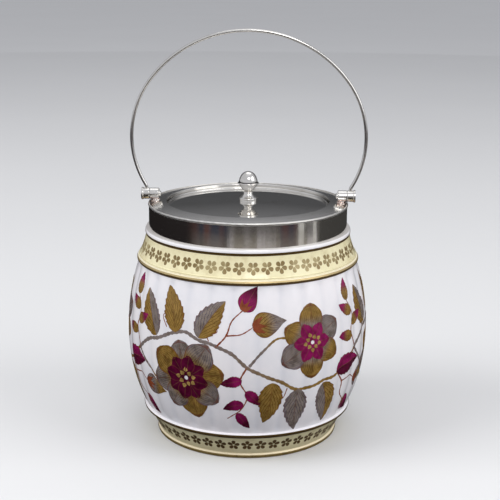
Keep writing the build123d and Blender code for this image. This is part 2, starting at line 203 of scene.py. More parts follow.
# ---------------------------------------------------------------- shader recipes
class Value:
    """A socket of a shader node. Arithmetic on it adds Math nodes beside it."""

    def __init__(self, recipe, socket):
        self.recipe = recipe
        self.socket = socket

    def math(self, operation, *others):
        inputs = dict(enumerate((self,) + others))
        return self.recipe.add("Math", {"operation": operation}, inputs)

    def __add__(self, other):
        return self.math("ADD", other)

    def __radd__(self, other):
        return self.math("ADD", other)

    def __sub__(self, other):
        return self.math("SUBTRACT", other)

    def __rsub__(self, other):
        return self.recipe.add("Math", {"operation": "SUBTRACT"}, {0: other, 1: self})

    def __mul__(self, other):
        return self.math("MULTIPLY", other)

    def __rmul__(self, other):
        return self.math("MULTIPLY", other)

    def __gt__(self, other):
        return self.math("GREATER_THAN", other)

    def __lt__(self, other):
        return self.math("LESS_THAN", other)

    def between(self, low, high):
        """1 where the value lies between low and high."""
        return (self > low) * (self < high)

    def ramp(self, low, high):
        """0 below low, 1 above high, and a smooth rise between them."""
        settings = {"interpolation_type": "SMOOTHSTEP"}
        return self.recipe.add("MapRange", settings, {0: self, 1: low, 2: high})


class Recipe:
    """The node tree of a material or a world, with its shader and its output in place."""

    def __init__(self, name, world=None):
        self.material = world or bpy.data.materials.new(name)
        self.material.use_nodes = True
        self.tree = self.material.node_tree
        self.shader = self.tree.nodes["Background" if world else "Principled BSDF"]

    def add(self, kind, settings=None, inputs=None, output=0):
        """Adds a node by its type, settings first and then its sockets, and gives one output."""
        node = self.tree.nodes.new("ShaderNode" + kind)
        for name, setting in (settings or {}).items():
            setattr(node, name, setting)
        for socket, value in (inputs or {}).items():
            self.feed(node.inputs[socket], value)
        return Value(self, node.outputs[output])

    def feed(self, socket, value):
        """Links a socket to a Value, or writes a number or a colour in it."""
        if isinstance(value, Value):
            self.tree.links.new(value.socket, socket)
        elif hasattr(value, "__len__") and len(value) == 3 and socket.type == "RGBA":
            socket.default_value = (*value, 1.0)
        else:
            socket.default_value = value

    def place(self):
        """Object coordinates."""
        return self.add("TexCoord", output="Object")

    def split(self, vector):
        """The three parts of a vector."""
        node = self.add("SeparateXYZ", inputs={0: vector}).socket.node
        return [Value(self, node.outputs[n]) for n in range(3)]

    def noise(self, vector, scale, detail=2.0, roughness=0.5, distortion=0.0):
        inputs = {"Vector": vector, "Scale": scale, "Detail": detail, "Roughness": roughness,
                  "Distortion": distortion}
        return self.add("TexNoise", inputs=inputs)

    def stretch(self, vector, scale):
        """A vector with each of its parts scaled."""
        return self.add("Mapping", inputs={"Vector": vector, "Scale": scale})

    def blend(self, factor, first, second, blend_type="MIX"):
        """Mixes two colours by a factor."""
        settings = {"data_type": "RGBA", "blend_type": blend_type}
        return self.add("Mix", settings, {0: factor, 6: first, 7: second}, output=2)

    def bump(self, height, strength, distance):
        inputs = {"Strength": strength, "Distance": distance, "Height": height}
        self.set(Normal=self.add("Bump", inputs=inputs))

    def set(self, **sockets):
        """Feeds the shader's sockets, with _ for each space in their names."""
        for name, value in sockets.items():
            self.feed(self.shader.inputs[name.replace("_", " ")], value)


def glazed_porcelain():
    """White and cream glaze: cream on the two bands, bare body on the ring that it stands on."""
    m = Recipe("glazed_porcelain")
    place = m.place()
    x, y, height = m.split(place)
    height = height * 1000.0
    upper = height.between(Z_UPPER_BAND - 0.1, Z_NECK_BEAD + 0.4)
    lower = height.between(1.2, Z_LOWER_BEAD + 0.8)
    cloud = m.noise(place, 38.0, 4.0, 0.6)
    stain = m.noise(place, 160.0, 5.0, 0.65)
    white = m.blend(cloud.ramp(0.35, 0.75), colours().white, GREY_GLAZE)
    lobe = ((y.math("ARCTAN2", x) - sizes().flute_turn) * (sizes().flute_count / 2)).math("SINE")
    # The flute valleys get a bluer, darker glaze: partly real pooled glaze, partly painted shade
    # that makes the flutes show.
    pooled_glaze_and_shade = (1.0 - lobe.math("ABSOLUTE")).ramp(0.25, 1.0) * height.between(Z_BARREL, Z_UPPER_BEAD)
    white = m.blend(pooled_glaze_and_shade * cloud * 0.45, white, POOLED_GLAZE_AND_SHADE)
    cream = m.blend(stain.ramp(0.40, 0.80), colours().cream, STAINED_CREAM)
    shade = (1.0 - height.ramp(3.0, 9.0)) * 0.55 * lower
    cream = m.blend(shade, cream, SHADED_CREAM)
    grime = height.ramp(Z_RIM - 0.5, Z_RIM + 0.1) * (height < Z_RIM + 1.0) * 0.45
    white = m.blend(height > Z_NECK_BEAD + 1.0, white, NECK_WHITE)
    colour = m.blend(upper.math("MAXIMUM", lower), white, cream)
    colour = m.blend(grime, colour, GRIME)
    bare = height < 0.15
    colour = m.blend(bare, colour, BARE_BODY)
    m.set(Base_Color=colour, Roughness=0.07 + cloud * 0.06 + bare * 0.5, IOR=1.52)
    m.bump(m.noise(place, 420.0, 2.0), 0.04, 0.0002)
    return m.material


def gilding(name, gilt, worn, flecks, polish, shaded_below=0.0):
    """Burnished gilding, brown where it is worn, and brown as painted shade below a height in
    millimetres.
    """
    m = Recipe(name)
    place = m.place()
    height = m.split(place)[2] * 1000.0
    patch = m.noise(place, 260.0, 6.0, 0.7, 0.4)
    fleck = m.noise(place, 1400.0, 3.0, 0.6)
    wear_and_shade = patch.ramp(0.60 - worn, 0.90 - worn)
    wear_and_shade = wear_and_shade.math("MAXIMUM", fleck.ramp(0.66, 0.74) * flecks)
    # Painted shade: below this height the gilding turns brown, as on the underside of a bead.
    wear_and_shade = wear_and_shade.math("MAXIMUM", height + patch * 0.8 < shaded_below)
    colour = m.blend(wear_and_shade, gilt, colours().worn_and_shaded_gilt)
    m.set(Base_Color=colour, Metallic=(1.0 - wear_and_shade * 0.5) * polish,
          Roughness=0.55 - 0.33 * polish + wear_and_shade * 0.15 + fleck * 0.08)
    m.bump(fleck, 0.25, 0.00006)
    return m.material


def enamel(name, vein_count, vein_lean, vein_depth, gilded):
    """Printed enamel: the shape's own tint, with its outline, midrib and veins from its map."""
    m = Recipe(name)
    place = m.place()
    foot, tip = [m.add("Attribute", {"attribute_name": name}, output="Color")
                 for name in ("tint", "tip_tint")]
    halved = m.add("Attribute", {"attribute_name": "halved"}, output="Fac")
    across, along, _ = m.split(m.add("TexCoord", output="UV"))
    wander = (m.noise(place, 900.0, 3.0) - 0.5) * 0.05
    second = (across + wander > 0.5) * halved + along.ramp(0.35, 0.75) * (1.0 - halved)
    tint = m.blend(second, foot, tip)
    side = (across + wander - 0.5).math("ABSOLUTE") * 2.0
    sweep = (along + side * vein_lean + wander) * vein_count
    line = (sweep.math("FRACT") - 0.5).math("ABSOLUTE") * 2.0
    vein = (1.0 - line.ramp(0.06, 0.30)) * side.between(0.05, 0.86)
    rib = (1.0 - side.ramp(0.01, 0.06)) * (along < 0.90)
    edge = side.ramp(0.88, 0.96).math("MAXIMUM", along.ramp(0.978, 0.992))
    mottle = m.noise(place, 260.0, 4.0, 0.55)
    colour = m.blend(mottle.ramp(0.35, 0.75) * 0.5, tint, (0.62, 0.54, 0.46), "MULTIPLY")
    colour = m.blend(vein * vein_depth, colour, VEIN_BROWN)
    sheen = (1.0 - (line + 0.45).math("FRACT").ramp(0.10, 0.30)) * side.between(0.05, 0.80)
    red, green, _ = m.split(tint)
    colour = m.blend(sheen * 0.5 * (green > red * 0.3), colour, PRINT_GOLD)
    colour = m.blend(rib * 0.7, colour, RIB_BROWN)
    colour = m.blend(edge * 0.75, colour, colours().outline)
    m.set(Base_Color=colour, Roughness=0.15 + mottle * 0.12,
          Metallic=gilded * (1.0 - edge) * mottle.ramp(0.30, 0.70), IOR=1.45,
          Specular_IOR_Level=0.3)
    m.bump(vein + rib, 0.3, 0.00003)
    return m.material


def floret_gilt(name, dark, pale, fade):
    """Flat gilt print of the florets, browner in places and rubbed thin in others."""
    m = Recipe(name)
    place = m.place()
    patch = m.noise(place, 55.0, 3.0, 0.6)
    grain = m.noise(place, 1500.0, 4.0, 0.6)
    colour = m.blend(patch.ramp(0.38, 0.66) * fade, dark, pale)
    colour = m.blend(grain.ramp(0.52, 0.72) * 0.4, colour, (0.36, 0.22, 0.07))
    m.set(Base_Color=colour, Roughness=0.38, Metallic=0.25)
    return m.material


def silver_plate(name, smooth, rough, scratch, dents, stretch=(1.0, 1.0, 1.0), copper_below=0.0):
    """Silver plate, polished from smooth to rough: fine scratches, faint dents, tarnish, and
    copper where it is thin, below a height in metres."""
    m = Recipe(name)
    place = m.place()
    wide = m.noise(place, 45.0, 4.0, 0.6)
    fine = m.noise(m.stretch(place, stretch), 900.0, 4.0, 0.65)
    bloom = m.noise(place, 130.0, 6.0, 0.7, 0.6)
    colour = m.blend(bloom.ramp(0.50, 0.82) * 0.45, colours().silver, TARNISH)
    colour = m.blend(wide.ramp(0.45, 0.75) * 0.30, colour, DULL_SILVER)
    thin = (m.split(place)[2] < copper_below) * bloom.ramp(0.30, 0.60) * 0.6
    colour = m.blend(thin, colour, COPPER)
    m.set(Base_Color=colour, Metallic=1.0,
          Roughness=smooth + wide * (rough - smooth) + bloom.ramp(0.5, 0.8) * 0.06)
    m.bump(fine * scratch + wide * dents, 0.5, 0.0001)
    return m.material


def nickel_silver():
    """Dull turned nickel silver of the washer and the nut."""
    m = Recipe("nickel_silver")
    place = m.place()
    grain = m.noise(place, 700.0, 5.0, 0.7)
    colour = m.blend(grain.ramp(0.35, 0.75), (0.52, 0.47, 0.38), (0.33, 0.27, 0.18))
    m.set(Base_Color=colour, Metallic=1.0, Roughness=0.32 + grain * 0.2)
    m.bump(grain, 0.3, 0.0001)
    return m.material


def plaster():
    """Old set plaster."""
    m = Recipe("plaster")
    place = m.place()
    grain = m.noise(place, 350.0, 6.0, 0.7)
    colour = m.blend(grain.ramp(0.35, 0.75), (0.70, 0.67, 0.60), (0.48, 0.43, 0.36))
    m.set(Base_Color=colour, Roughness=0.9)
    m.bump(grain, 0.6, 0.0004)
    return m.material


# ---------------------------------------------------------------- outlines
def arc(start, middle, end, steps):
    """Points on the arc from start through middle to end, without the start."""
    (ax, ay), (bx, by), (cx, cy) = start, middle, end
    a, b, c = ax * ax + ay * ay, bx * bx + by * by, cx * cx + cy * cy
    d = 2 * (ax * (by - cy) + bx * (cy - ay) + cx * (ay - by))
    ux = (a * (by - cy) + b * (cy - ay) + c * (ay - by)) / d
    uy = (a * (cx - bx) + b * (ax - cx) + c * (bx - ax)) / d
    first = atan2(ay - uy, ax - ux)
    turn = (atan2(cy - uy, cx - ux) - first) % (2 * pi)
    if (atan2(by - uy, bx - ux) - first) % (2 * pi) > turn:
        turn -= 2 * pi
    radius = hypot(ax - ux, ay - uy)
    angles = [first + turn * k / steps for k in range(1, steps + 1)]
    return [(ux + radius * cos(t), uy + radius * sin(t)) for t in angles]


def bowed(start, end, sag, steps):
    """An arc from start to end that curves in by sag, to the left of its way."""
    (ax, ay), (bx, by) = start, end
    length = hypot(bx - ax, by - ay)
    middle = ((ax + bx) / 2 - (by - ay) / length * sag, (ay + by) / 2 + (bx - ax) / length * sag)
    return arc(start, middle, end, steps)


def swell(belly, end, steps):
    """Points from the widest level to an end of the barrel, upright at the widest level."""
    (bx, by), (ex, ey) = belly, end
    radius = ((bx - ex) ** 2 + (ey - by) ** 2) / (2 * (bx - ex))
    heights = [by + (ey - by) * k / steps for k in range(1, steps + 1)]
    return [(bx - radius + sqrt(radius**2 - (h - by) ** 2), h) for h in heights]


def softened(outline, reach, steps=3):
    """An outline with its corners rounded from reach before each to reach after it, and a
    point just beyond each rounding, which keeps the shading of the sides flat."""
    points = [Vector(outline[0])]
    for before, corner, after in zip(outline, outline[1:], outline[2:]):
        back, corner, ahead = Vector(before), Vector(corner), Vector(after)
        back, ahead = back - corner, ahead - corner
        if back.angle(ahead) > radians(160):
            points.append(corner)
            continue
        p = corner + back.normalized() * min(reach, back.length * 0.45)
        q = corner + ahead.normalized() * min(reach, ahead.length * 0.45)
        points.append(corner + back.normalized() * min(2 * reach, back.length * 0.48))
        for k in range(steps + 1):
            t = k / steps
            points.append(p * (1 - t) ** 2 + corner * 2 * t * (1 - t) + q * t**2)
        points.append(corner + ahead.normalized() * min(2 * reach, ahead.length * 0.48))
    return [tuple(p) for p in points] + [tuple(outline[-1])]


def ring(outline):
    """A closed outline that starts and ends in the middle of its first side."""
    (ax, ay), (bx, by) = outline[:2]
    middle = ((ax + bx) / 2, (ay + by) / 2)
    return [middle] + outline[1:] + [outline[0], middle]


class Outline(list):
    """Points of an outline. Each arc starts from the point before it."""

    def arc(self, middle, end, steps):
        self += arc(self[-1], middle, end, steps)

    def bowed(self, end, sag, steps):
        self += bowed(self[-1], end, sag, steps)


def outer_skin():
    """The jar's outside from the foot ring to the seat of the mount, without flutes."""
    points = Outline([(FOOT_RADIUS, 0.0)])
    points.arc((54.1, Z_FOOT_BAND / 2), (53.3, Z_FOOT_BAND), 8)
    points.bowed((60.6, Z_LOWER_BEAD), 0.5, 12)
    points.arc((LOWER_BEAD_RADIUS, 17.0), (BARREL_BOTTOM_RADIUS, Z_BARREL), 8)
    bottom = swell((BELLY_RADIUS, Z_BELLY), (BARREL_BOTTOM_RADIUS, Z_BARREL), 34)
    points += bottom[-2::-1] + [(BELLY_RADIUS, Z_BELLY)]
    points += swell((BELLY_RADIUS, Z_BELLY), (BARREL_TOP_RADIUS, Z_UPPER_BEAD), 32)
    points.arc((UPPER_BEAD_RADIUS, 106.9), (64.15, 108.3), 9)
    points.arc((64.3, 108.65), (63.85, Z_UPPER_BAND), 4)
    points.arc((64.05, 109.2), (63.55, 109.8), 5)
    points.bowed((59.8, Z_NECK_BEAD), 0.45, 12)
    points.arc((NECK_BEAD_RADIUS, 122.85), (59.8, Z_RIM), 6)
    return points


OUTER_SKIN = outer_skin()
SKIN_HEIGHTS = [z for _, z in OUTER_SKIN]


def skin(turn, height):
    """Radius of the jar's outside at an angle and a height, flutes and all, in metres."""
    height /= MM
    k = min(max(bisect_left(SKIN_HEIGHTS, height), 1), len(OUTER_SKIN) - 1)
    (r0, z0), (r1, z1) = OUTER_SKIN[k - 1], OUTER_SKIN[k]
    radius = r0 + (r1 - r0) * (height - z0) / max(z1 - z0, 1e-9)
    return radius * MM - flute(turn, height)


def flute(turn, height):
    """How far a flute's valley lies inside the lobes at an angle, in metres; height in mm."""
    reach = min(height - Z_BARREL, Z_UPPER_BEAD - height) / FLUTE_FADE
    if reach <= 0:
        return 0.0
    fade = min(reach, 1.0)
    wave = sin(sizes().flute_count / 2 * (turn - sizes().flute_turn))
    blunt = 0.015
    rise = sqrt(wave * wave + blunt) / sqrt(1 + blunt)
    return sizes().flute_depth * (1 - rise) * fade * fade * (3 - 2 * fade)


# ---------------------------------------------------------------- modelling
def deselect():
    bpy.ops.object.select_all(action="DESELECT")


def named(piece, name):
    piece.name = name
    piece.data.name = name
    return piece


def finish_mesh(piece):
    """Merges doubles, turns the faces outwards and shades them smooth between sharp corners."""
    bpy.ops.object.mode_set(mode="EDIT")
    bpy.ops.mesh.select_all(action="SELECT")
    bpy.ops.mesh.remove_doubles(threshold=2e-6)
    bpy.ops.mesh.normals_make_consistent(inside=False)
    bpy.ops.object.mode_set(mode="OBJECT")
    bpy.ops.object.shade_smooth_by_angle(angle=radians(35))
    return piece


def turned(name, outline, steps=128, lying=False):
    """Turns an outline in millimetres: (radius, height) round Z, or (x, radius) round the hinge."""
    if lying:
        points = [Vector((x, 0, Z_HINGE + r)) * MM for x, r in outline]
        centre, axis = (0, 0, Z_HINGE * MM), (1, 0, 0)
    else:
        points = [Vector((r, 0, z)) * MM for r, z in outline]
        centre, axis = (0, 0, 0), (0, 0, 1)
    deselect()
    bpy.ops.mesh.primitive_plane_add(size=0.001, location=(0, 0, 0))
    piece = named(bpy.context.object, name)
    bpy.ops.object.mode_set(mode="EDIT")
    bpy.ops.mesh.merge(type="CENTER")
    bpy.ops.transform.translate(value=points[0])
    for before, after in zip(points, points[1:]):
        bpy.ops.mesh.extrude_vertices_move(TRANSFORM_OT_translate={"value": after - before})
    bpy.ops.mesh.select_all(action="SELECT")
    bpy.ops.mesh.spin(steps=steps, angle=2 * pi, center=centre, axis=axis)
    return finish_mesh(piece)


def joined(name, pieces):
    """Joins pieces into one."""
    deselect()
    for piece in pieces:
        piece.select_set(True)
    bpy.context.view_layer.objects.active = pieces[0]
    bpy.ops.object.join()
    return named(pieces[0], name)


def copied(piece, name, matrix):
    """A copy with its own mesh, moved by a matrix."""
    other = piece.copy()
    other.data = piece.data.copy()
    bpy.context.collection.objects.link(other)
    other.data.transform(matrix)
    return named(other, name)


def finished(piece, body, slot, material, *nodes):
    """Gives a piece its finish and its body, and hides the solids that it stands for."""
    piece.data.materials.clear()
    piece.data.materials.append(material)
    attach(piece, body)
    if nodes:
        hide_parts(*nodes)
    return piece


def both_sides(piece, name, body, silver):
    """Finishes a right-hand piece, and a copy turned half round as the left-hand one."""
    other = copied(piece, name + "_plated_left", Matrix.Rotation(pi, 4, "Z"))
    finished(named(piece, name + "_plated_right"), body, "silver_plate", silver, name + "_right")
    finished(other, body, "silver_plate", silver, name + "_left")


def wrapped(piece, level, around, turn):
    """Lays a flat design on the jar, x round it and y up it, and gives it its thickness."""
    for vertex in piece.data.vertices:
        across, rise, layer = vertex.co
        angle = turn + across / around
        radius = skin(angle, level + rise) + PRINT_PROUD + layer
        vertex.co = (radius * cos(angle), radius * sin(angle), level + rise)
    piece.data.update()
    solid = piece.modifiers.new("Solidify", "SOLIDIFY")
    solid.thickness = sizes().print_thickness
    solid.offset = -1.0
    deselect()
    piece.select_set(True)
    bpy.context.view_layer.objects.active = piece
    bpy.ops.object.modifier_apply(modifier=solid.name)
    bpy.ops.object.shade_smooth_by_angle(angle=radians(50))
    return piece


class JAR_OT_porcelain(bpy.types.Operator):
    """Turn the footed porcelain barrel and press its flutes"""

    bl_idname = "jar.porcelain"
    bl_label = "Porcelain Barrel"

    def execute(self, context):
        inner_belly = (BELLY_RADIUS - WALL, Z_BELLY)
        top = swell(inner_belly, (BARREL_TOP_RADIUS - WALL, Z_UPPER_BEAD), 9)
        bottom = swell(inner_belly, (BARREL_BOTTOM_RADIUS - WALL, Z_BARREL), 10)
        under, inside = 3.0, 8.0
        outline = Outline([(0, under), (30, under), (47.1, under), (50.1, 0.0)] + OUTER_SKIN)
        outline += [(57.6, Z_RIM), (NECK_RADIUS, Z_RIM), (NECK_RADIUS, 129.0),
                    (NECK_RADIUS, Z_NECK_TOP), (NECK_BORE, Z_NECK_TOP), (NECK_BORE, Z_RIM)]
        outline += top[::-1] + [inner_belly] + bottom[:-1] + [(57.0, 18.0)]
        outline.arc((54.07, 10.93), (47.0, inside), 7)
        outline += [(24, inside), (0, inside)]
        piece = turned("porcelain_barrel", outline, steps=512)
        for vertex in piece.data.vertices:
            x, y, z = vertex.co
            radius = hypot(x, y)
            turn = atan2(y, x)
            if Z_BARREL < z / MM < Z_UPPER_BEAD and radius > skin(turn, z) - 0.001:
                depth = flute(turn, z / MM)
                vertex.co = (x * (1 - depth / radius), y * (1 - depth / radius), z)
        finished(piece, "jar", "porcelain", glazed_porcelain(), "porcelain_body")
        return {"FINISHED"}


class JAR_OT_gilding(bpy.types.Operator):
    """Lay the gilding on the beads, the foot and the top of the upper band"""

    bl_idname = "jar.gilding"
    bl_label = "Gilding"

    def layer(self, name, low, high, material):
        heights = [low + (high - low) * k / 12 for k in range(13)]
        outside = [(skin(0, h * MM) / MM + 0.06, h) for h in heights]
        inside = [(r - 0.3, h) for r, h in outside]
        piece = turned(name, outside + inside[::-1] + outside[:1], steps=256)
        return finished(piece, "jar", "porcelain", material)

    def execute(self, context):
        gilt = tuple(colours().gilt)
        # The upper bead's gilding is painted brown on its underside as shade.
        bead = gilding("bead_gilding", gilt, worn=0.02, flecks=0.3, polish=0.75,
                       shaded_below=Z_UPPER_BEAD + 2.1)
        dull = gilding("dull_gilding", (0.62, 0.50, 0.34), worn=0.46, flecks=0.7, polish=0.9)
        foot = gilding("foot_gilding_finish", (0.38, 0.27, 0.10), worn=0.15, flecks=0.2, polish=0.7)
        # Painted highlight: pale gilding for the top edge of the foot rim.
        edge = gilding("foot_painted_highlight_gilt", (0.86, 0.76, 0.54), worn=0.0, flecks=0.3, polish=0.25)
        # Painted highlight: pale gilding for the top edge of the upper bead.
        pale = gilding("upper_painted_highlight_gilt", (0.96, 0.89, 0.68), worn=0.0, flecks=0.1, polish=0.2)
        self.layer("upper_bead_gilding", Z_UPPER_BEAD + 0.1, Z_UPPER_BAND - 0.8, bead)
        # The pale strip along the upper bead's top edge is a painted highlight.
        self.layer("upper_painted_highlight_gilding", Z_UPPER_BAND - 0.8, Z_UPPER_BAND + 0.1, pale)
        self.layer("lower_bead_gilding", Z_LOWER_BEAD - 1.1, Z_LOWER_BEAD + 1.65, dull)
        self.layer("foot_gilding", 0.35, Z_FOOT_BAND - 0.7, foot)
        # The pale strip along the foot rim's top edge is a painted highlight.
        self.layer("foot_painted_highlight_gilding", Z_FOOT_BAND - 0.7, Z_FOOT_BAND + 0.4, edge)
        self.layer("neck_line_gilding", Z_NECK_BEAD - 0.25, Z_NECK_BEAD + 1.35, dull)
        return {"FINISHED"}


class JAR_OT_florets(bpy.types.Operator):
    """Print the rows of five-petal florets on the cream bands"""

    bl_idname = "jar.florets"
    bl_label = "Band Florets"

    def floret(self, reach, width, length, pointing):
        """Five oval petals, flat, with the first one pointing at an angle."""
        petals = []
        for k in range(5):
            deselect()
            bpy.ops.mesh.primitive_circle_add(vertices=14, radius=1.0, fill_type="NGON")
            petal = bpy.context.object
            for vertex in petal.data.vertices:
                x, y, _ = vertex.co
                broad = 1.0 + 0.30 * y
                vertex.co = (x * broad * width / 2, reach + y * length / 2, 0)
            petal.data.transform(Matrix.Rotation(pointing - pi / 2 + 2 * pi * k / 5, 4, "Z"))
            petals.append(petal)
        return joined("floret", petals)

    def row(self, name, count, level, around, floret, material, seed, turn):
        pick = random.Random(seed)
        copies = []
        for k in range(count):
            tilt = Matrix.Rotation(pick.uniform(-0.10, 0.10), 4, "Z")
            spot = (2 * pi * around * k / count, pick.uniform(-0.00012, 0.00012), 0)
            copies.append(copied(floret, "petals", Matrix.Translation(spot) @ tilt))
        bpy.data.objects.remove(floret)
        piece = wrapped(joined(name, copies), level, around, turn)
        return finished(piece, "jar", "porcelain", material)

    def execute(self, context):
        s = sizes()
        upper = self.floret(reach=0.00205, width=0.00230, length=0.00300, pointing=radians(-90))
        warm = floret_gilt("upper_floret_gilt", (0.22, 0.15, 0.055), (0.42, 0.34, 0.17), 1.0)
        self.row("upper_florets", s.upper_florets, level=0.1147, around=0.0619, floret=upper,
                 material=warm, seed=3, turn=radians(1.7))
        lower = self.floret(reach=0.00200, width=0.00215, length=0.00300, pointing=radians(90))
        brown = floret_gilt("lower_floret_gilt", (0.080, 0.040, 0.012), (0.15, 0.085, 0.03), 0.6)
        self.row("lower_florets", s.lower_florets, level=0.0091, around=0.0567, floret=lower,
                 material=brown, seed=5, turn=radians(-1.1))
        return {"FINISHED"}


# ---------------------------------------------------------------- the floral print
def leaf_form(t):
    """Half width of a leaf along its length."""
    tooth = (t * 8.0) % 1.0
    body = sin(pi * t**0.74) ** 0.80
    return max(body * (1 - 0.10 * t) + 0.13 * (tooth - 0.5) * min(t * 5, (1 - t) * 5, 1), 0.01)


def petal_form(t):
    """Half width of a broad petal, narrow at its foot and round at its end."""
    round_end = sqrt(max(1 - max((t - 0.50) / 0.50, 0.0) ** 3, 0.0))
    return max((0.28 + 0.80 * sin(min(t / 0.68, 1) * pi / 2)) * round_end * 0.95, 0.01)


def bud_form(t):
    """Half width of a teardrop bud."""
    return max(sin(pi * t**0.62) ** 0.9, 0.01)


def calyx_form(t):
    """Half width of a slim sepal."""
    return max(sin(pi * t**0.55) ** 1.3, 0.01)


def blade(length, width, form, bend=0.0, ruffle=0.0, cells=None):
    """A flat leaf or petal that grows from the origin along Y, with its map across and along it."""
    cells = cells or (max(int(width / 0.0012), 4), max(int(length / 0.0007), 6))
    deselect()
    bpy.ops.mesh.primitive_grid_add(x_subdivisions=cells[0], y_subdivisions=cells[1], size=1.0)
    piece = bpy.context.object
    curl = bend or 1e-6
    for vertex in piece.data.vertices:
        side, along = vertex.co.x * 2, vertex.co.y + 0.5
        half = side * form(along) * width / 2
        turn = curl * along
        reach = length * (1 + ruffle * abs(cos(side * 1.5 * pi)) * along**3)
        middle = (reach / curl * (1 - cos(turn)), reach / curl * sin(turn))
        vertex.co = (middle[0] + half * cos(turn), middle[1] - half * sin(turn), 0)
    return piece


def stroke(path, start_width, end_width):
    """A flat stem along a smooth path through some points."""
    points = [Vector(p) * MM for p in path]
    line = []
    padded = [points[0] * 2 - points[1]] + points + [points[-1] * 2 - points[-2]]
    for a, b, c, d in zip(padded, padded[1:], padded[2:], padded[3:]):
        steps = max(int((c - b).length / 0.0009), 3)
        for k in range(steps):
            t = k / steps
            line.append(0.5 * (2 * b + (c - a) * t + (2 * a - 5 * b + 4 * c - d) * t**2
                               + (3 * b - a - 3 * c + d) * t**3))
    line.append(points[-1])
    deselect()
    bpy.ops.mesh.primitive_grid_add(x_subdivisions=2, y_subdivisions=len(line) - 1, size=1.0)
    piece = bpy.context.object
    rows = len(line)
    for vertex in piece.data.vertices:
        row = round((vertex.co.y + 0.5) * (rows - 1))
        ahead = line[min(row + 1, rows - 1)] - line[max(row - 1, 0)]
        normal = Vector((ahead.y, -ahead.x)).normalized()
        width = (start_width + (end_width - start_width) * row / (rows - 1)) * MM
        width *= 1 + 0.18 * sin(row * 1.9) + 0.10 * sin(row * 0.7)
        spot = line[row] + normal * vertex.co.x * width
        vertex.co = (spot.x, spot.y, 0)
    return piece


def placed(piece, spot, angle, foot, tip, layer, scale=1.0, mirror=False, halved=False):
    """A copy of a flat shape, its foot at a spot in millimetres, growing at an angle.

    It carries two tints: from foot to tip, or one to each half where it is halved."""
    flip = Matrix.Diagonal((-1 if mirror else 1, 1, 1, 1))
    move = Matrix.Translation((spot[0] * MM, spot[1] * MM, layer * LAYER_STEP))
    turn = Matrix.Rotation(radians(angle) - pi / 2, 4, "Z")
    other = copied(piece, "shape", move @ turn @ Matrix.Scale(scale, 4) @ flip)
    if mirror:
        other.data.flip_normals()
    for name, colour in (("tint", foot), ("tip_tint", tip), ("halved", (float(halved),) * 3)):
        tints = other.data.color_attributes.new(name, "FLOAT_COLOR", "POINT")
        for point in tints.data:
            point.color = (*colour, 1.0)
    return other


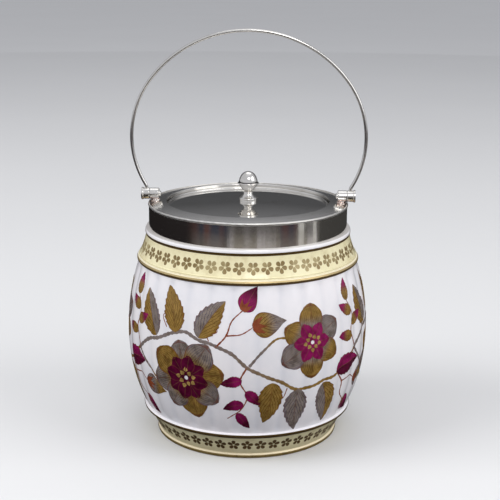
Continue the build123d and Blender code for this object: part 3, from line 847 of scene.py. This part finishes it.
class JAR_OT_print(bpy.types.Operator):
    """Print a generic scrolling vine with blooms, leaves and buds round the barrel"""

    bl_idname = "jar.print"
    bl_label = "Floral Print"

    def execute(self, context):
        c = colours()
        ochre, mauve, plum, magenta, rust = [
            tuple(colour) for colour in (c.ochre, c.mauve, c.plum, c.magenta, c.rust)]
        wave = 2 * pi * BELLY_RADIUS / 3
        leaf = blade(0.0275, 0.0155, leaf_form, bend=0.40)
        small_leaf = blade(0.0135, 0.0072, leaf_form, bend=0.25)
        petal = blade(0.0198, 0.0170, petal_form, ruffle=0.10)
        inner_petal = blade(0.0112, 0.0090, petal_form, ruffle=0.12)
        bud = blade(0.0190, 0.0140, bud_form, bend=0.10, ruffle=0.04)
        sepal = blade(0.0085, 0.0034, calyx_form, bend=0.3)
        seed = blade(0.0030, 0.0028, bud_form, cells=(4, 4))
        shapes = [leaf, small_leaf, petal, inner_petal, bud, sepal, seed]
        stems, leaves, blooms = [], [], []

        def bloom(x, y, count, scale, outer, tips, heart, start):
            x += shift

            def grown(shape, angle, out, foot, tip, layer, size=scale):
                way = radians(angle)
                spot = (x + out * scale * cos(way), y + out * scale * sin(way))
                blooms.append(placed(shape, spot, angle, foot, tip, layer, size))

            step = 360 / count
            for k in range(count):
                tip = tips if k % 3 else outer
                size = scale * (1.0 + 0.07 * sin(k * 2.3))
                grown(petal, start + step * k, 2.0, outer, tip, 2 + k % 2, size)
            for k in range(count):
                grown(inner_petal, start + step * (k + 0.5), 1.2, heart, heart, 4 + k % 2)
            for k in range(9):
                out = 2.2 if k % 2 else 3.6
                grown(seed, start + 40 * k, out, SEED_GOLD, SEED_GOLD, 6 + k % 2)

        def leaf_at(x, y, angle, foot, tip, scale=1.0, mirror=False, small=False):
            shape = small_leaf if small else leaf
            spot = (x + shift, y)
            leaves.append(placed(shape, spot, angle, foot, tip, 3, scale, mirror, not small))

        def bud_at(x, y, angle, foot, tip, scale=1.0):
            spot = (x + shift, y)
            leaves.append(placed(bud, spot, angle, foot, tip, 3, scale))
            for k, lean in enumerate((-42, 0, 42)):
                leaves.append(placed(sepal, spot, angle + lean, rust, rust, 4 + k, scale, lean < 0))

        def stem(path, start_width=1.0, end_width=0.6):
            piece = stroke([(x + shift, y) for x, y in path], start_width, end_width)
            foot, tip = (mauve, ochre) if start_width > 1.2 else (rust, rust)
            stems.append(placed(piece, (0, 0), 90, foot, tip, 1))
            shapes.append(piece)

        for repeat in range(3):
            shift = wave * repeat
            vine = [(wave * k / 16, 15.5 * sin(pi * k / 8) + 1.2 * sin(k * 2.1)) for k in range(17)]
            vine[-1] = (wave, vine[0][1])
            stem(vine, 2.0, 1.8)
            stem([(0, 0), (8, -9), (16, -15), (23, -15)], 1.5, 1.1)
            stem([(75, 0), (83, 9), (90, 15), (98, 15)], 1.5, 1.1)
            stem([(56, 10), (62, 17), (65, 25), (71, 31)], 1.0, 0.6)
            stem([(62, 17), (70, 18), (77, 22)], 0.8, 0.5)
            stem([(131, -10), (138, -18), (139, -26), (145, -32)], 1.0, 0.6)
            stem([(138, -18), (147, -17), (153, -20)], 0.8, 0.5)
            stem([(74, 0), (70, -9), (74, -18), (70, -27), (62, -33)], 1.0, 0.5)
            stem([(0, 1), (-5, 11), (-2, 20), (-7, 29)], 1.0, 0.5)
            stem([(52, 13), (50, 19), (54, 23), (57, 19), (53, 17)], 0.5, 0.35)
            stem([(24, 17), (21, 23), (25, 26), (27, 22)], 0.5, 0.35)
            stem([(97, -14), (95, -20), (91, -22), (90, -18)], 0.5, 0.35)
            bloom(38, -10, 8, 1.0, outer=ochre, tips=mauve, heart=plum, start=12)
            bloom(112, 11, 6, 0.88, outer=mauve, tips=ochre, heart=magenta, start=30)
            leaf_at(17, 11, 128, ochre, mauve, 1.0)
            leaf_at(31, 15.5, 98, ochre, ochre, 0.95, True)
            leaf_at(46, 14.5, 66, mauve, ochre, 0.95)
            leaf_at(88, -10, 272, ochre, ochre, 0.95)
            leaf_at(104, -15.5, 262, mauve, mauve, 1.0, True)
            leaf_at(121, -15, 296, ochre, mauve, 1.0)
            leaf_at(131, -10, 18, magenta, plum, 0.85)
            bud_at(71, 31, 58, magenta, plum, 0.80)
            bud_at(77, 22, 12, ochre, mauve, 1.0)
            bud_at(145, -32, -35, magenta, plum, 0.72)
            bud_at(153, -20, -5, mauve, ochre, 0.9)
            for x, y, angle in ((71, -8, 200), (73, -15, -40), (72, -23, 190), (68, -29, -60)):
                leaf_at(x, y, angle, magenta, plum, 0.95, x % 2 == 0, True)
            for x, y, angle in ((-4, 8, 165), (-4, 15, 20), (-3, 22, 160), (-7, 29, 95)):
                leaf_at(x, y, angle, ochre, magenta, 0.95, x % 2 == 0, True)
        for shape in shapes:
            bpy.data.objects.remove(shape)
        around = BELLY_RADIUS * MM
        leaf_enamel = enamel(
            "leaf_enamel", vein_count=7.0, vein_lean=-0.55, vein_depth=0.60, gilded=0.35)
        petal_enamel = enamel(
            "petal_enamel", vein_count=3.0, vein_lean=2.2, vein_depth=0.50, gilded=0.45)
        stem_enamel = enamel(
            "stem_enamel", vein_count=30.0, vein_lean=0.3, vein_depth=0.25, gilded=0.15)
        middle = 0.0615
        for name, flat, finish in (("print_stems", stems, stem_enamel),
                                   ("print_leaves", leaves, leaf_enamel),
                                   ("print_blooms", blooms, petal_enamel)):
            piece = wrapped(joined(name, flat), middle, around, sizes().print_turn)
            finished(piece, "jar", "porcelain", finish)
        return {"FINISHED"}


# ---------------------------------------------------------------- the plated mount
class JAR_OT_mount(bpy.types.Operator):
    """Make the rim band, its edge wire and the shoulder with the lid's recess"""

    bl_idname = "jar.mount"
    bl_label = "Rim Mount"

    def execute(self, context):
        band_silver = silver_plate("band_silver", 0.06, 0.13, scratch=0.30, dents=0.7,
                                   stretch=(1.0, 1.0, 0.06))
        spun_silver = silver_plate("spun_silver", 0.10, 0.19, scratch=0.16, dents=0.3)
        outline = ring([(RIM_OUTER, 130.0), (RIM_OUTER, Z_BAND_TOP), (RIM_INNER, Z_BAND_TOP),
                        (RIM_INNER, Z_RIM), (RIM_OUTER, Z_RIM)])
        band = turned("rim_band_plate", softened(outline, 0.15), steps=256)
        finished(band, "jar", "silver_plate", band_silver, "rim_band")

        root, crest = 57.85, 58.53
        wire = [(SHOULDER_OUTER, Z_BAND_TOP), (root, Z_BAND_TOP)]
        wire += arc((root, Z_BAND_TOP - 0.2), (crest, 138.15), (57.75, 138.88), 14)
        wire += [(SHOULDER_OUTER, 138.8), (SHOULDER_OUTER, Z_BAND_TOP)]
        edge = turned("rim_edge_bead", wire, steps=512)
        most_worn, rubbed = radians(-118), 0.00005
        for vertex in edge.data.vertices:
            x, y, z = vertex.co
            turn, radius = atan2(y, x), hypot(x, y)
            worn = max(cos(turn - most_worn), 0.0) ** 6 + 0.25
            knock = sin(turn * 23) * sin(turn * 61 + 1.0) * sizes().dent_depth * worn
            if radius > (root + 0.05) * MM:
                out = 1 + (knock - rubbed * worn) / radius
                vertex.co = (x * out, y * out, z + 0.5 * knock)
        rubbed_silver = silver_plate("rubbed_silver", 0.36, 0.42, scratch=0.2, dents=0.2)
        finished(edge, "jar", "silver_plate", rubbed_silver, "rim_edge_wire")

        outline = Outline([(SHOULDER_OUTER, Z_BAND_TOP), (SHOULDER_OUTER, 138.3)])
        outline.bowed((RECESS_RADIUS + 0.5, 140.05), -0.12, 8)
        thick = 0.8
        outline += [(RECESS_RADIUS, Z_SHOULDER_TOP - 0.3), (RECESS_RADIUS, Z_LEDGE),
                    (LEDGE_INNER, Z_LEDGE), (LEDGE_INNER, Z_LEDGE - thick),
                    (RECESS_RADIUS + thick, Z_LEDGE - thick), (RECESS_RADIUS + thick, 139.156),
                    (RIM_INNER, 137.572), (RIM_INNER, Z_BAND_TOP)]
        shoulder = turned("rim_shoulder_plate", softened(ring(outline), 0.35, 4), steps=256)
        finished(shoulder, "jar", "silver_plate", spun_silver, "rim_shoulder")
        return {"FINISHED"}


class JAR_OT_hinges(bpy.types.Operator):
    """Make the two posts, their pins and the sleeves that turn on them"""

    bl_idname = "jar.hinges"
    bl_label = "Bail Hinges"

    def execute(self, context):
        silver = silver_plate("turned_silver", 0.10, 0.24, scratch=0.5, dents=0.4,
                              stretch=(0.3, 1.0, 1.0), copper_below=0.1412)
        shank = 1.2
        outline = ring([(54.0, KNUCKLE_RADIUS), (KNUCKLE_OUTER, KNUCKLE_RADIUS),
                        (KNUCKLE_OUTER, shank), (KNUCKLE_INNER, shank),
                        (KNUCKLE_INNER, KNUCKLE_RADIUS)])
        knuckle = turned("knuckle", softened(outline, 0.35, 4), steps=96, lying=True)
        foot, under = 138.84, Z_HINGE - 2.0
        outline = [(0, foot - 0.4), (2.9, foot - 0.4), (2.9, foot + 0.45), (2.6, foot + 0.62),
                   (2.25, foot + 0.75), (2.1, foot + 1.1), (2.1, under - 0.4), (2.35, under),
                   (0, under)]
        neck = turned("neck", softened(outline, 0.2), steps=64)
        below, above = 137.14, 137.95
        outline = [(0, below), (2.1, below), (2.1, above), (0, above)]
        tail = turned("tail", softened(outline, 0.3), steps=48)
        slope = -0.18
        for vertex in neck.data.vertices:
            if vertex.co.z < (foot + 0.8) * MM:
                vertex.co.z += slope * vertex.co.x
        for part in (neck, tail):
            part.data.transform(Matrix.Translation((POST_X * MM, 0, 0)))
        both_sides(joined("bail_post", [knuckle, neck, tail]), "bail_post", "jar", silver)

        head, end, rivet = KNUCKLE_INNER - 1.3, SLEEVE_OUTER - 0.5, 1.7
        outline = Outline([(head, 0), (head, 0.6)])
        outline.arc((head + 0.3, 1.35), (head + 0.75, rivet), 5)
        outline += [(KNUCKLE_INNER, rivet), (KNUCKLE_INNER, shank), (end, shank), (end, rivet),
                    (SLEEVE_OUTER - 0.12, 1.6), (SLEEVE_OUTER, 1.0), (SLEEVE_OUTER, 0)]
        pin = turned("hinge_pin", softened(outline, 0.12), steps=64, lying=True)
        both_sides(pin, "hinge_pin", "jar", silver)

        bore, mouth, inset = 1.25, 1.8, SLEEVE_OUTER - 0.6
        outline = ring([(59.5, KNUCKLE_RADIUS), (61.55, KNUCKLE_RADIUS), (61.65, 3.6),
                        (SLEEVE_OUTER, 3.6), (SLEEVE_OUTER, mouth), (inset, mouth), (inset, bore),
                        (SLEEVE_INNER, bore), (SLEEVE_INNER, KNUCKLE_RADIUS)])
        sleeve = turned("bail_sleeve", softened(outline, 0.25, 4), steps=96, lying=True)
        both_sides(sleeve, "bail_sleeve", "bail", silver)
        return {"FINISHED"}


class JAR_OT_bail(bpy.types.Operator):
    """Bend the bail's wire from a round section through its arcs"""

    bl_idname = "jar.bail"
    bl_label = "Bail Wire"

    def execute(self, context):
        bend, side, rise, bulge = 4.0, 54.8, 95.0, 8.35
        bend_x = WIRE_X + bend
        side_x = WIRE_X + bulge - side
        lean = acos((bend_x - side_x) / (side + bend))
        z_bend = Z_HINGE + KNUCKLE_RADIUS + 0.1
        z_side = z_bend + (side + bend) * sin(lean)
        height = Z_HINGE + rise - z_side
        crown = (side_x**2 + height**2 - side**2) / (2 * (height - side))
        z_crown = Z_HINGE + rise - crown
        turn = atan2(z_side - z_crown, side_x)
        low = Z_HINGE + 1.5
        deselect()
        bpy.ops.mesh.primitive_circle_add(
            vertices=24, radius=WIRE_RADIUS * MM, location=(WIRE_X * MM, 0, low * MM))
        piece = named(bpy.context.object, "bail_wire_plated")
        bpy.ops.object.transform_apply(location=True, rotation=True, scale=True)
        bpy.ops.object.mode_set(mode="EDIT")
        bpy.ops.mesh.select_all(action="SELECT")
        up = {"value": (0, 0, (z_bend - low) * MM)}
        bpy.ops.mesh.extrude_region_move(TRANSFORM_OT_translate=up)
        arcs = [((bend_x, z_bend), -lean, 6), ((side_x, z_side), lean + turn, 60),
                ((0, z_crown), pi - 2 * turn, 110), ((-side_x, z_side), turn + lean, 60),
                ((-bend_x, z_bend), -lean, 6)]
        for (x, z), angle, steps in arcs:
            bpy.ops.mesh.spin(steps=steps, angle=angle, center=(x * MM, 0, z * MM), axis=(0, 1, 0))
        bpy.ops.mesh.extrude_region_move(
            TRANSFORM_OT_translate={"value": (0, 0, (low - z_bend) * MM)})
        bpy.ops.mesh.select_all(action="SELECT")
        bpy.ops.mesh.fill_holes(sides=0)
        finish_mesh(piece)
        silver = silver_plate("wire_silver", 0.12, 0.26, scratch=0.6, dents=0.5,
                              stretch=(1.0, 1.0, 0.4))
        finished(piece, "bail", "silver_plate", silver, "bail_wire")
        return {"FINISHED"}


# ---------------------------------------------------------------- lid and finial
def dome(radius, drop=0.0):
    """Height of the lid's dome at a radius, or of a surface that drops below it."""
    return Z_CROWN - DOME_RADIUS - drop + sqrt(DOME_RADIUS**2 - radius**2)


class JAR_OT_lid(bpy.types.Operator):
    """Spin the domed lid, its rim wire and the ring that keeps it centred"""

    bl_idname = "jar.lid"
    bl_label = "Lid"

    def execute(self, context):
        polished = silver_plate("lid_silver", 0.03, 0.07, scratch=0.12, dents=0.15)
        rim_silver = silver_plate("lid_rim_silver", 0.12, 0.24, scratch=0.4, dents=0.4)
        hole, thick = 1.65, 0.8
        radii = [hole + (PLATE_RADIUS - hole) * k / 24 for k in range(25)]
        outline = [(r, dome(r)) for r in radii] + [(r, dome(r, thick)) for r in radii[::-1]]
        outline.append(outline[0])
        plate = turned("lid_plate_polished", outline, steps=256)
        finished(plate, "lid", "silver_plate", polished, "lid_plate")

        outline = Outline([(PLATE_RADIUS, Z_LID_EDGE), (PLATE_RADIUS, Z_LEDGE),
                           (LID_RADIUS, Z_LEDGE), (LID_RADIUS, Z_LID_EDGE)])
        outline.arc((46.6, Z_LID_EDGE + 0.6), outline[0], 12)
        rim = turned("lid_rim_bead", outline, steps=256)
        finished(rim, "lid", "silver_plate", rim_silver, "lid_rim_wire")

        outer, inner, low = 43.5, 42.8, Z_LEDGE - 6.0
        outline = ring([(outer, 132.0), (outer, dome(outer, thick)), (inner, dome(inner, thick)),
                        (inner, low), (outer, low)])
        locating = turned("lid_locating_plate", softened(outline, 0.12), steps=192)
        finished(locating, "lid", "silver_plate", rim_silver, "lid_locating_ring")
        return {"FINISHED"}


class JAR_OT_finial(bpy.types.Operator):
    """Turn the finial: base, waisted neck with a ring, cup, thin lip and dome"""

    bl_idname = "jar.finial"
    bl_label = "Finial"

    def execute(self, context):
        shank, waist, foot, cup, lip = 1.5, 2.45, 5.2, 5.5, 6.0
        z_shank, z_base, z_lip = Z_CROWN - 5.2, Z_CROWN + 2.0, Z_CROWN + 10.4
        z_cup, z_rim, z_dome = z_lip - 4.5, z_lip - 0.3, z_lip + 0.3
        z_ring = z_base + (z_rim - z_base) / 3
        z_ring_top = z_ring + 0.7
        outline = Outline([(0, z_shank), (1.3, z_shank), (shank, z_shank + 0.2),
                           (shank, dome(shank)), (3.4, dome(3.4)), (foot, dome(foot)),
                           (foot, z_base - 0.67)])
        outline.arc((5.0, z_base - 0.20), (4.53, z_base), 5)
        outline.arc((3.37, z_base + (z_ring - z_base) / 3), (waist, z_ring), 10)
        outline.arc((2.9, z_ring + 0.35), (waist, z_ring_top), 8)
        outline += [(waist, (z_ring_top + z_cup) / 2), (waist, z_cup)]
        outline.bowed((cup, z_rim), -0.35, 12)
        outline.append((lip, z_rim))
        outline.arc((lip + 0.3, z_lip), (lip, z_dome), 6)
        outline.append((cup, z_dome))
        for k in range(1, 20):
            t = pi / 2 * k / 20
            outline.append((cup * cos(t), z_dome + 6.7 * sin(t)))
        outline.append((0, z_dome + 6.7))
        finial = turned("finial_turned", outline, steps=96)
        silver = silver_plate("finial_silver", 0.05, 0.11, scratch=0.2, dents=0.15,
                              stretch=(1.0, 1.0, 0.3))
        finished(finial, "lid", "silver_plate", silver, "finial")
        return {"FINISHED"}


class JAR_OT_inner(bpy.types.Operator):
    """Finish the solids that show only with the lid off or from inside"""

    bl_idname = "jar.inner"
    bl_label = "Inner Parts"

    def execute(self, context):
        nickel = nickel_silver()
        for name, material in (("plaster_bed", plaster()), ("finial_washer", nickel),
                               ("finial_nut", nickel)):
            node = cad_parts[name]
            node.data.materials.clear()
            node.data.materials.append(material)
        return {"FINISHED"}


# ---------------------------------------------------------------- stage
# The world's greys behind and before the jar, from the horizon up, where the camera sees it, and
# the cool tint of the greys.
WORLD_BEHIND = ((0.0, 0.07), (0.23, 0.082), (0.36, 0.17), (0.58, 0.33), (0.80, 0.6), (1.0, 0.85))
WORLD_BEFORE = ((0.0, 0.50), (0.10, 0.62), (0.35, 0.60), (0.65, 0.58), (0.90, 0.66), (1.0, 0.8))
WORLD_SEEN = (0.43, 0.435, 0.455)
COOL = (0.97, 0.985, 1.04)


class JAR_OT_stage(bpy.types.Operator):
    """Set out the floor, the soft lights and the camera"""

    bl_idname = "jar.stage"
    bl_label = "Stage"

    def reflection_card(self):
        """A dark card on the floor round the jar, which only reflections see; its pattern paints
        reflections in the metal.
        """
        deselect()
        bpy.ops.mesh.primitive_circle_add(vertices=96, radius=2.6, fill_type="NGON",
                                          location=(0, 0, 0.0006))
        bpy.ops.object.transform_apply(location=True)
        card = named(bpy.context.object, "reflection_card")
        m = Recipe("reflection_card")
        x, y, _ = m.split(m.place())
        reach = (x * x + y * y).math("SQRT")
        turn = y.math("ARCTAN2", x)
        # Painted reflections: two dim stretches, an arch with its two legs, and the pale streaks
        # between them.
        dim = (0.0 - turn).ramp(1.80, 1.95).math("MAXIMUM", turn.between(-0.92, -0.57))
        legs = turn.between(-0.535, -0.41).math("MAXIMUM", turn.between(-0.20, -0.12))
        lintel = turn.between(-0.535, -0.12) * reach.between(0.655, 0.70)
        opening = turn.between(-0.41, -0.20) * reach.ramp(0.56, 0.62) * 0.6
        ray = m.add("CombineXYZ", inputs={0: turn * 2.2, 1: reach * 0.3})
        streak = m.noise(ray, 3.2, 3.0, 0.6).ramp(0.44, 0.58)
        ray = m.add("CombineXYZ", inputs={0: turn * 2.0, 1: 5.0})
        hue = m.noise(ray, 2.0, 1.0).ramp(0.40, 0.60)
        gloom = m.blend(hue, (0.055, 0.022, 0.020), (0.014, 0.020, 0.034))
        far = m.blend(streak, (0.030, 0.027, 0.028), (0.068, 0.062, 0.064))
        far = m.blend(dim, far, gloom)
        near = m.blend(streak, (0.22, 0.20, 0.17), (0.38, 0.36, 0.35))
        near = m.blend(dim * 0.75, near, (0.05, 0.038, 0.030))
        colour = m.blend(reach.ramp(0.550, 0.625), near, far)
        colour = m.blend(reach.ramp(0.34, 0.47), (0.022, 0.020, 0.018), colour)
        colour = m.blend((0.0 - turn).ramp(2.35, 2.80), colour, (0.014, 0.012, 0.012))
        colour = m.blend(turn > -0.10, colour, (0.08, 0.076, 0.070))
        beyond = m.blend(x > 0.0, (0.014, 0.012, 0.012), (0.045, 0.043, 0.040))
        colour = m.blend(y > -0.02, colour, beyond)
        colour = m.blend(opening, colour, (0.018, 0.017, 0.018))
        arch = legs.math("MAXIMUM", lintel) * (0.20 + 0.27 * reach.ramp(0.55, 0.64))
        m.set(Base_Color=m.blend(arch, colour, (0.70, 0.70, 0.66)), Roughness=1.0,
              Specular_IOR_Level=0.0)
        card.data.materials.append(m.material)
        for ray_kind in ("camera", "diffuse", "shadow", "transmission"):
            setattr(card, "visible_" + ray_kind, False)

    def studio(self):
        """Soft light from all round: paler before the jar than behind it, and plain where the
        camera itself looks past the floor."""
        world = bpy.data.worlds.new("studio")
        bpy.context.scene.world = world
        m = Recipe("studio", world)
        _, back, up = m.split(m.add("TexCoord", output="Generated"))
        facing = m.add("MapRange", inputs={0: back, 1: 0.75, 2: 0.35})
        greys = []
        for stops in (WORLD_BEHIND, WORLD_BEFORE):
            ramp = m.add("ValToRGB", inputs={0: up})
            elements = ramp.socket.node.color_ramp.elements
            for level, _ in stops[1:-1]:
                elements.new(level)
            for element, (level, grey) in zip(elements, stops):
                element.position = level
                element.color = (*(grey * tint for tint in COOL), 1.0)
            greys.append(ramp)
        light = m.blend(facing, *greys)
        m.set(Color=m.blend(m.add("LightPath", output="Is Camera Ray"), light, WORLD_SEEN))

    def lamp(self, name, size, spot, aim, power, mirrored=True):
        """A soft lamp at a spot, aimed at another; metal mirrors it only where mirrored."""
        deselect()
        bpy.ops.object.light_add(type="AREA", location=spot)
        lamp = bpy.context.object
        lamp.name = name
        lamp.rotation_euler = (Vector(spot) - Vector(aim)).to_track_quat("Z", "Y").to_euler()
        lamp.data.shape = "RECTANGLE"
        lamp.data.size, lamp.data.size_y = size
        lamp.data.energy = power
        lamp.visible_glossy = mirrored

    def execute(self, context):
        deselect()
        bpy.ops.mesh.primitive_plane_add(size=24.0)
        floor = named(bpy.context.object, "floor")
        bpy.ops.object.mode_set(mode="EDIT")
        bpy.ops.mesh.subdivide(number_cuts=3)
        bpy.ops.object.mode_set(mode="OBJECT")
        m = Recipe("floor_paint")
        cloud = m.noise(m.place(), 3.0, 3.0)
        pale = m.blend(cloud, (0.70, 0.70, 0.70), (0.73, 0.73, 0.73))
        seen = m.add("LightPath", output="Is Camera Ray")
        for kind in ("Is Glossy Ray", "Is Transmission Ray"):
            seen = seen.math("MAXIMUM", m.add("LightPath", output=kind))
        m.set(Base_Color=m.blend(seen, (0.20, 0.20, 0.21), pale), Roughness=0.75,
              Specular_IOR_Level=0.2)
        floor.data.materials.append(m.material)

        self.studio()
        jar, top = (0, 0, 0.08), (0, 0, 0.12)
        self.lamp("key_light", (1.1, 0.9), (-1.42, -0.55, 1.25), jar, power=19.3, mirrored=False)
        self.lamp("fill_light", (1.15, 1.1), (1.42, -0.55, 0.95), jar, power=9.5, mirrored=False)
        self.lamp("fill_glint", (1.15, 1.1), (1.39, -0.54, 0.93), jar, power=5.0)
        self.lamp("front_light", (0.7, 0.5), (0.30, -1.35, 1.20), jar, power=5.0)
        self.lamp("top_light", (1.4, 1.0), (0.1, 0.55, 1.9), top, power=4.0)
        # A card seen only in reflections, painted with the reflections that the metal shows.
        self.reflection_card()

        deselect()
        spot = Vector((sin(CAMERA_AZIMUTH), -cos(CAMERA_AZIMUTH), 0)) * CAMERA_DISTANCE
        spot.z = CAMERA_HEIGHT
        bpy.ops.object.camera_add(location=spot)
        camera = bpy.context.object
        turn = Matrix.Rotation(CAMERA_AZIMUTH - CAMERA_YAW, 3, "Z")
        turn @= Matrix.Rotation(pi / 2 - CAMERA_PITCH, 3, "X")
        camera.rotation_euler = (turn @ Matrix.Rotation(CAMERA_ROLL, 3, "Z")).to_euler()
        camera.data.sensor_width = SENSOR_MM
        camera.data.lens = FOCAL_PIXELS / FRAME_PIXELS * SENSOR_MM
        camera.data.clip_start = 0.05
        camera.data.clip_end = 60.0
        bpy.context.scene.camera = camera
        bpy.context.scene.view_settings.view_transform = "Standard"
        return {"FINISHED"}


PIECE_OPERATORS = (
    JAR_OT_porcelain, JAR_OT_gilding, JAR_OT_florets, JAR_OT_print, JAR_OT_mount, JAR_OT_hinges,
    JAR_OT_bail, JAR_OT_lid, JAR_OT_finial, JAR_OT_inner, JAR_OT_stage)


class JAR_PT_sidebar(bpy.types.Panel):
    """Sizes, colours and the makers of the jar's pieces."""

    bl_idname = "JAR_PT_sidebar"
    bl_label = "Biscuit Jar"
    bl_space_type = "VIEW_3D"
    bl_region_type = "UI"
    bl_category = "Biscuit Jar"

    def draw(self, context):
        column = self.layout.column()
        for group in (context.scene.jar_sizes, context.scene.jar_colours):
            for name in group.__annotations__:
                column.prop(group, name)
        for operator in PIECE_OPERATORS:
            column.operator(operator.bl_idname)


CLASSES = (JarSizes, JarColours) + PIECE_OPERATORS + (JAR_PT_sidebar,)


def register():
    for cls in CLASSES:
        bpy.utils.register_class(cls)
    bpy.types.Scene.jar_sizes = bpy.props.PointerProperty(type=JarSizes)
    bpy.types.Scene.jar_colours = bpy.props.PointerProperty(type=JarColours)


def unregister():
    del bpy.types.Scene.jar_colours
    del bpy.types.Scene.jar_sizes
    for cls in reversed(CLASSES):
        bpy.utils.unregister_class(cls)


def main():
    register()
    bpy.ops.jar.porcelain()
    bpy.ops.jar.gilding()
    bpy.ops.jar.florets()
    bpy.ops.jar.print()
    bpy.ops.jar.mount()
    bpy.ops.jar.hinges()
    bpy.ops.jar.bail()
    bpy.ops.jar.lid()
    bpy.ops.jar.finial()
    bpy.ops.jar.inner()
    bpy.ops.jar.stage()


if __name__ == "__main__":
    main()
